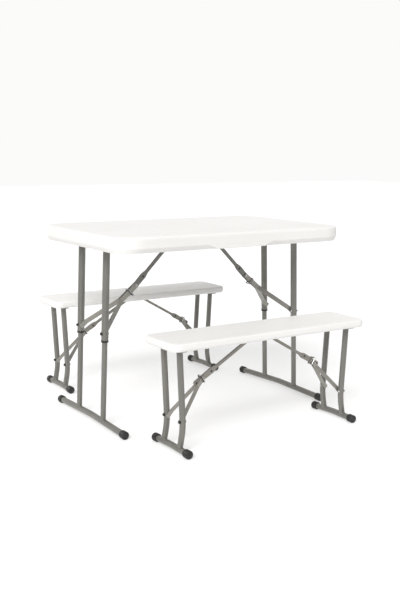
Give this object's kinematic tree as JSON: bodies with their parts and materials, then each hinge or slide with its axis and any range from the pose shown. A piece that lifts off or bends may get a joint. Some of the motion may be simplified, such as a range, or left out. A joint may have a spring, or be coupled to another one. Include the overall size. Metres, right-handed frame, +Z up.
{
  "type": "folding picnic table set",
  "caption": "Rectangular folding table with a white moulded top, grey tube leg frames and Y braces, and matching folding benches, one along each long side.",
  "frame": {"origin": "on the floor, at the middle of the whole set's footprint (the table's centre is 13.5 mm nearer the front bench)", "axes": "+X along the table's length to the right, +Y across the table towards the rear bench, +Z up"},
  "size_m": [1.045, 1.1778, 0.74],
  "materials": {
    "white_plastic": "blow-moulded polyethylene, fine pebbled grain",
    "grey_coat": "satin warm-grey powder coat on steel tube and sheet",
    "bench_coat": "satin light warm-grey powder coat on folded steel",
    "zinc": "bright zinc-plated wire and rivets",
    "black_plastic": "satin black moulded caps and collars"
  },
  "bodies": {
    "table": {"table_top": "white_plastic", "table_rail_front": "grey_coat", "table_rail_rear": "grey_coat", "table_centre_bracket": "grey_coat"},
    "table_left_leg": {"table_left_upper_leg_frame": "grey_coat", "table_left_leg_collar_front": "black_plastic", "table_left_leg_collar_rear": "black_plastic"},
    "table_left_lower_leg": {"table_left_lower_leg_frame": "grey_coat", "table_left_foot_cap_front": "black_plastic", "table_left_foot_cap_rear": "black_plastic"},
    "table_left_arm": {"table_left_upper_arm": "grey_coat"},
    "table_left_v_arms": {"table_left_v_arm_front": "grey_coat", "table_left_v_arm_rear": "grey_coat", "table_left_knee_rivet": "zinc"},
    "table_left_ring": {"table_left_ring_lock": "zinc"},
    "table_right_leg": {"table_right_upper_leg_frame": "grey_coat", "table_right_leg_collar_front": "black_plastic", "table_right_leg_collar_rear": "black_plastic"},
    "table_right_lower_leg": {"table_right_lower_leg_frame": "grey_coat", "table_right_foot_cap_front": "black_plastic", "table_right_foot_cap_rear": "black_plastic"},
    "table_right_arm": {"table_right_upper_arm": "grey_coat"},
    "table_right_v_arms": {"table_right_v_arm_front": "grey_coat", "table_right_v_arm_rear": "grey_coat", "table_right_knee_rivet": "zinc"},
    "table_right_ring": {"table_right_ring_lock": "zinc"},
    "front_bench": {"front_bench_seat": "white_plastic", "front_bench_centre_bracket": "bench_coat", "front_bench_rail_front": "grey_coat", "front_bench_rail_rear": "grey_coat"},
    "front_bench_left_leg": {"front_bench_left_leg_frame": "grey_coat", "front_bench_left_foot_cap_front": "black_plastic", "front_bench_left_foot_cap_rear": "black_plastic"},
    "front_bench_left_arm": {"front_bench_left_upper_arm": "bench_coat"},
    "front_bench_left_v_brace": {"front_bench_left_v_brace": "bench_coat"},
    "front_bench_left_ring": {"front_bench_left_ring_lock": "zinc"},
    "front_bench_right_leg": {"front_bench_right_leg_frame": "grey_coat", "front_bench_right_foot_cap_front": "black_plastic", "front_bench_right_foot_cap_rear": "black_plastic"},
    "front_bench_right_arm": {"front_bench_right_upper_arm": "bench_coat"},
    "front_bench_right_v_brace": {"front_bench_right_v_brace": "bench_coat"},
    "front_bench_right_ring": {"front_bench_right_ring_lock": "zinc"},
    "rear_bench": {"rear_bench_seat": "white_plastic", "rear_bench_centre_bracket": "bench_coat", "rear_bench_rail_front": "grey_coat", "rear_bench_rail_rear": "grey_coat"},
    "rear_bench_left_leg": {"rear_bench_left_leg_frame": "grey_coat", "rear_bench_left_foot_cap_front": "black_plastic", "rear_bench_left_foot_cap_rear": "black_plastic"},
    "rear_bench_left_arm": {"rear_bench_left_upper_arm": "bench_coat"},
    "rear_bench_left_v_brace": {"rear_bench_left_v_brace": "bench_coat"},
    "rear_bench_left_ring": {"rear_bench_left_ring_lock": "zinc"},
    "rear_bench_right_leg": {"rear_bench_right_leg_frame": "grey_coat", "rear_bench_right_foot_cap_front": "black_plastic", "rear_bench_right_foot_cap_rear": "black_plastic"},
    "rear_bench_right_arm": {"rear_bench_right_upper_arm": "bench_coat"},
    "rear_bench_right_v_brace": {"rear_bench_right_v_brace": "bench_coat"},
    "rear_bench_right_ring": {"rear_bench_right_ring_lock": "zinc"}
  },
  "joints": [
    {"name": "table_left_leg_fold", "type": "hinge", "parent": "table", "child": "table_left_leg", "pos_m": [-0.442, -0.0135, 0.702], "axis": [0, -1, 0], "range_deg": [0, 91.98]},
    {"name": "table_left_telescope", "type": "slide", "parent": "table_left_leg", "child": "table_left_lower_leg", "axis": [0.0345, 0, 0.9994], "range_m": [0, 0.2805]},
    {"name": "table_left_arm_swing", "type": "hinge", "parent": "table", "child": "table_left_arm", "pos_m": [-0.08, -0.0135, 0.702], "axis": [0, -1, 0], "range_deg": [-45.32, 0]},
    {"name": "table_left_v_fold", "type": "hinge", "parent": "table_left_arm", "child": "table_left_v_arms", "pos_m": [-0.26589, -0.0135, 0.51522], "axis": [0, -1, 0], "range_deg": [0, 185.63]},
    {"name": "table_left_ring_slide", "type": "slide", "parent": "table_left_arm", "child": "table_left_ring", "axis": [0.7054, 0, 0.7088], "range_m": [0, 0.2029]},
    {"name": "table_right_leg_fold", "type": "hinge", "parent": "table", "child": "table_right_leg", "pos_m": [0.442, -0.0135, 0.702], "axis": [0, 1, 0], "range_deg": [0, 91.98]},
    {"name": "table_right_telescope", "type": "slide", "parent": "table_right_leg", "child": "table_right_lower_leg", "axis": [-0.0345, 0, 0.9994], "range_m": [0, 0.2805]},
    {"name": "table_right_arm_swing", "type": "hinge", "parent": "table", "child": "table_right_arm", "pos_m": [0.08, -0.0135, 0.702], "axis": [0, 1, 0], "range_deg": [-45.32, 0]},
    {"name": "table_right_v_fold", "type": "hinge", "parent": "table_right_arm", "child": "table_right_v_arms", "pos_m": [0.26589, -0.0135, 0.51522], "axis": [0, 1, 0], "range_deg": [0, 185.63]},
    {"name": "table_right_ring_slide", "type": "slide", "parent": "table_right_arm", "child": "table_right_ring", "axis": [-0.7054, 0, 0.7088], "range_m": [0, 0.2029]},
    {"name": "front_bench_pull_out", "type": "slide", "parent": "table", "child": "front_bench", "axis": [0, -1, 0], "range_m": [-0.03, 0.25]},
    {"name": "front_bench_left_leg_fold", "type": "hinge", "parent": "front_bench", "child": "front_bench_left_leg", "pos_m": [-0.38, -0.4705, 0.38], "axis": [0, -1, 0], "range_deg": [0, 85.8]},
    {"name": "front_bench_left_arm_swing", "type": "hinge", "parent": "front_bench", "child": "front_bench_left_arm", "pos_m": [-0.012, -0.4705, 0.381], "axis": [0, -1, 0], "range_deg": [-26.66, 0]},
    {"name": "front_bench_left_v_fold", "type": "hinge", "parent": "front_bench_left_arm", "child": "front_bench_left_v_brace", "pos_m": [-0.2506, -0.4705, 0.24365], "axis": [0, -1, 0], "range_deg": [0, 161.74]},
    {"name": "front_bench_left_ring_slide", "type": "slide", "parent": "front_bench_left_arm", "child": "front_bench_left_ring", "axis": [0.8667, 0, 0.4989], "range_m": [0, 0.1385]},
    {"name": "front_bench_right_leg_fold", "type": "hinge", "parent": "front_bench", "child": "front_bench_right_leg", "pos_m": [0.38, -0.4705, 0.38], "axis": [0, 1, 0], "range_deg": [0, 85.8]},
    {"name": "front_bench_right_arm_swing", "type": "hinge", "parent": "front_bench", "child": "front_bench_right_arm", "pos_m": [0.012, -0.4705, 0.381], "axis": [0, 1, 0], "range_deg": [-26.66, 0]},
    {"name": "front_bench_right_v_fold", "type": "hinge", "parent": "front_bench_right_arm", "child": "front_bench_right_v_brace", "pos_m": [0.2506, -0.4705, 0.24365], "axis": [0, 1, 0], "range_deg": [0, 161.74]},
    {"name": "front_bench_right_ring_slide", "type": "slide", "parent": "front_bench_right_arm", "child": "front_bench_right_ring", "axis": [-0.8667, 0, 0.4989], "range_m": [0, 0.1385]},
    {"name": "rear_bench_pull_out", "type": "slide", "parent": "table", "child": "rear_bench", "axis": [0, 1, 0], "range_m": [-0.03, 0.25]},
    {"name": "rear_bench_left_leg_fold", "type": "hinge", "parent": "rear_bench", "child": "rear_bench_left_leg", "pos_m": [-0.38, 0.4705, 0.38], "axis": [0, -1, 0], "range_deg": [0, 85.8]},
    {"name": "rear_bench_left_arm_swing", "type": "hinge", "parent": "rear_bench", "child": "rear_bench_left_arm", "pos_m": [-0.012, 0.4705, 0.381], "axis": [0, -1, 0], "range_deg": [-26.66, 0]},
    {"name": "rear_bench_left_v_fold", "type": "hinge", "parent": "rear_bench_left_arm", "child": "rear_bench_left_v_brace", "pos_m": [-0.2506, 0.4705, 0.24365], "axis": [0, -1, 0], "range_deg": [0, 161.74]},
    {"name": "rear_bench_left_ring_slide", "type": "slide", "parent": "rear_bench_left_arm", "child": "rear_bench_left_ring", "axis": [0.8667, 0, 0.4989], "range_m": [0, 0.1385]},
    {"name": "rear_bench_right_leg_fold", "type": "hinge", "parent": "rear_bench", "child": "rear_bench_right_leg", "pos_m": [0.38, 0.4705, 0.38], "axis": [0, 1, 0], "range_deg": [0, 85.8]},
    {"name": "rear_bench_right_arm_swing", "type": "hinge", "parent": "rear_bench", "child": "rear_bench_right_arm", "pos_m": [0.012, 0.4705, 0.381], "axis": [0, 1, 0], "range_deg": [-26.66, 0]},
    {"name": "rear_bench_right_v_fold", "type": "hinge", "parent": "rear_bench_right_arm", "child": "rear_bench_right_v_brace", "pos_m": [0.2506, 0.4705, 0.24365], "axis": [0, 1, 0], "range_deg": [0, 161.74]},
    {"name": "rear_bench_right_ring_slide", "type": "slide", "parent": "rear_bench_right_arm", "child": "rear_bench_right_ring", "axis": [-0.8667, 0, 0.4989], "range_m": [0, 0.1385]}
  ],
  "couplings": [
    {"joint": "table_left_telescope", "follows": "table_left_leg_fold", "m_per_rad": 0.17441},
    {"joint": "table_left_arm_swing", "follows": "table_left_leg_fold", "ratio": -0.49216},
    {"joint": "table_left_v_fold", "follows": "table_left_leg_fold", "ratio": 2.0175},
    {"joint": "table_left_ring_slide", "follows": "table_left_leg_fold", "m_per_rad": 0.12607},
    {"joint": "table_right_telescope", "follows": "table_right_leg_fold", "m_per_rad": 0.17441},
    {"joint": "table_right_arm_swing", "follows": "table_right_leg_fold", "ratio": -0.49216},
    {"joint": "table_right_v_fold", "follows": "table_right_leg_fold", "ratio": 2.0175},
    {"joint": "table_right_ring_slide", "follows": "table_right_leg_fold", "m_per_rad": 0.12607},
    {"joint": "front_bench_left_arm_swing", "follows": "front_bench_left_leg_fold", "ratio": -0.31014},
    {"joint": "front_bench_left_v_fold", "follows": "front_bench_left_leg_fold", "ratio": 1.8845},
    {"joint": "front_bench_left_ring_slide", "follows": "front_bench_left_leg_fold", "m_per_rad": 0.092154},
    {"joint": "front_bench_right_arm_swing", "follows": "front_bench_right_leg_fold", "ratio": -0.31014},
    {"joint": "front_bench_right_v_fold", "follows": "front_bench_right_leg_fold", "ratio": 1.8845},
    {"joint": "front_bench_right_ring_slide", "follows": "front_bench_right_leg_fold", "m_per_rad": 0.092154},
    {"joint": "rear_bench_left_arm_swing", "follows": "rear_bench_left_leg_fold", "ratio": -0.31014},
    {"joint": "rear_bench_left_v_fold", "follows": "rear_bench_left_leg_fold", "ratio": 1.8845},
    {"joint": "rear_bench_left_ring_slide", "follows": "rear_bench_left_leg_fold", "m_per_rad": 0.092154},
    {"joint": "rear_bench_right_arm_swing", "follows": "rear_bench_right_leg_fold", "ratio": -0.31014},
    {"joint": "rear_bench_right_v_fold", "follows": "rear_bench_right_leg_fold", "ratio": 1.8845},
    {"joint": "rear_bench_right_ring_slide", "follows": "rear_bench_right_leg_fold", "m_per_rad": 0.092154}
  ]
}
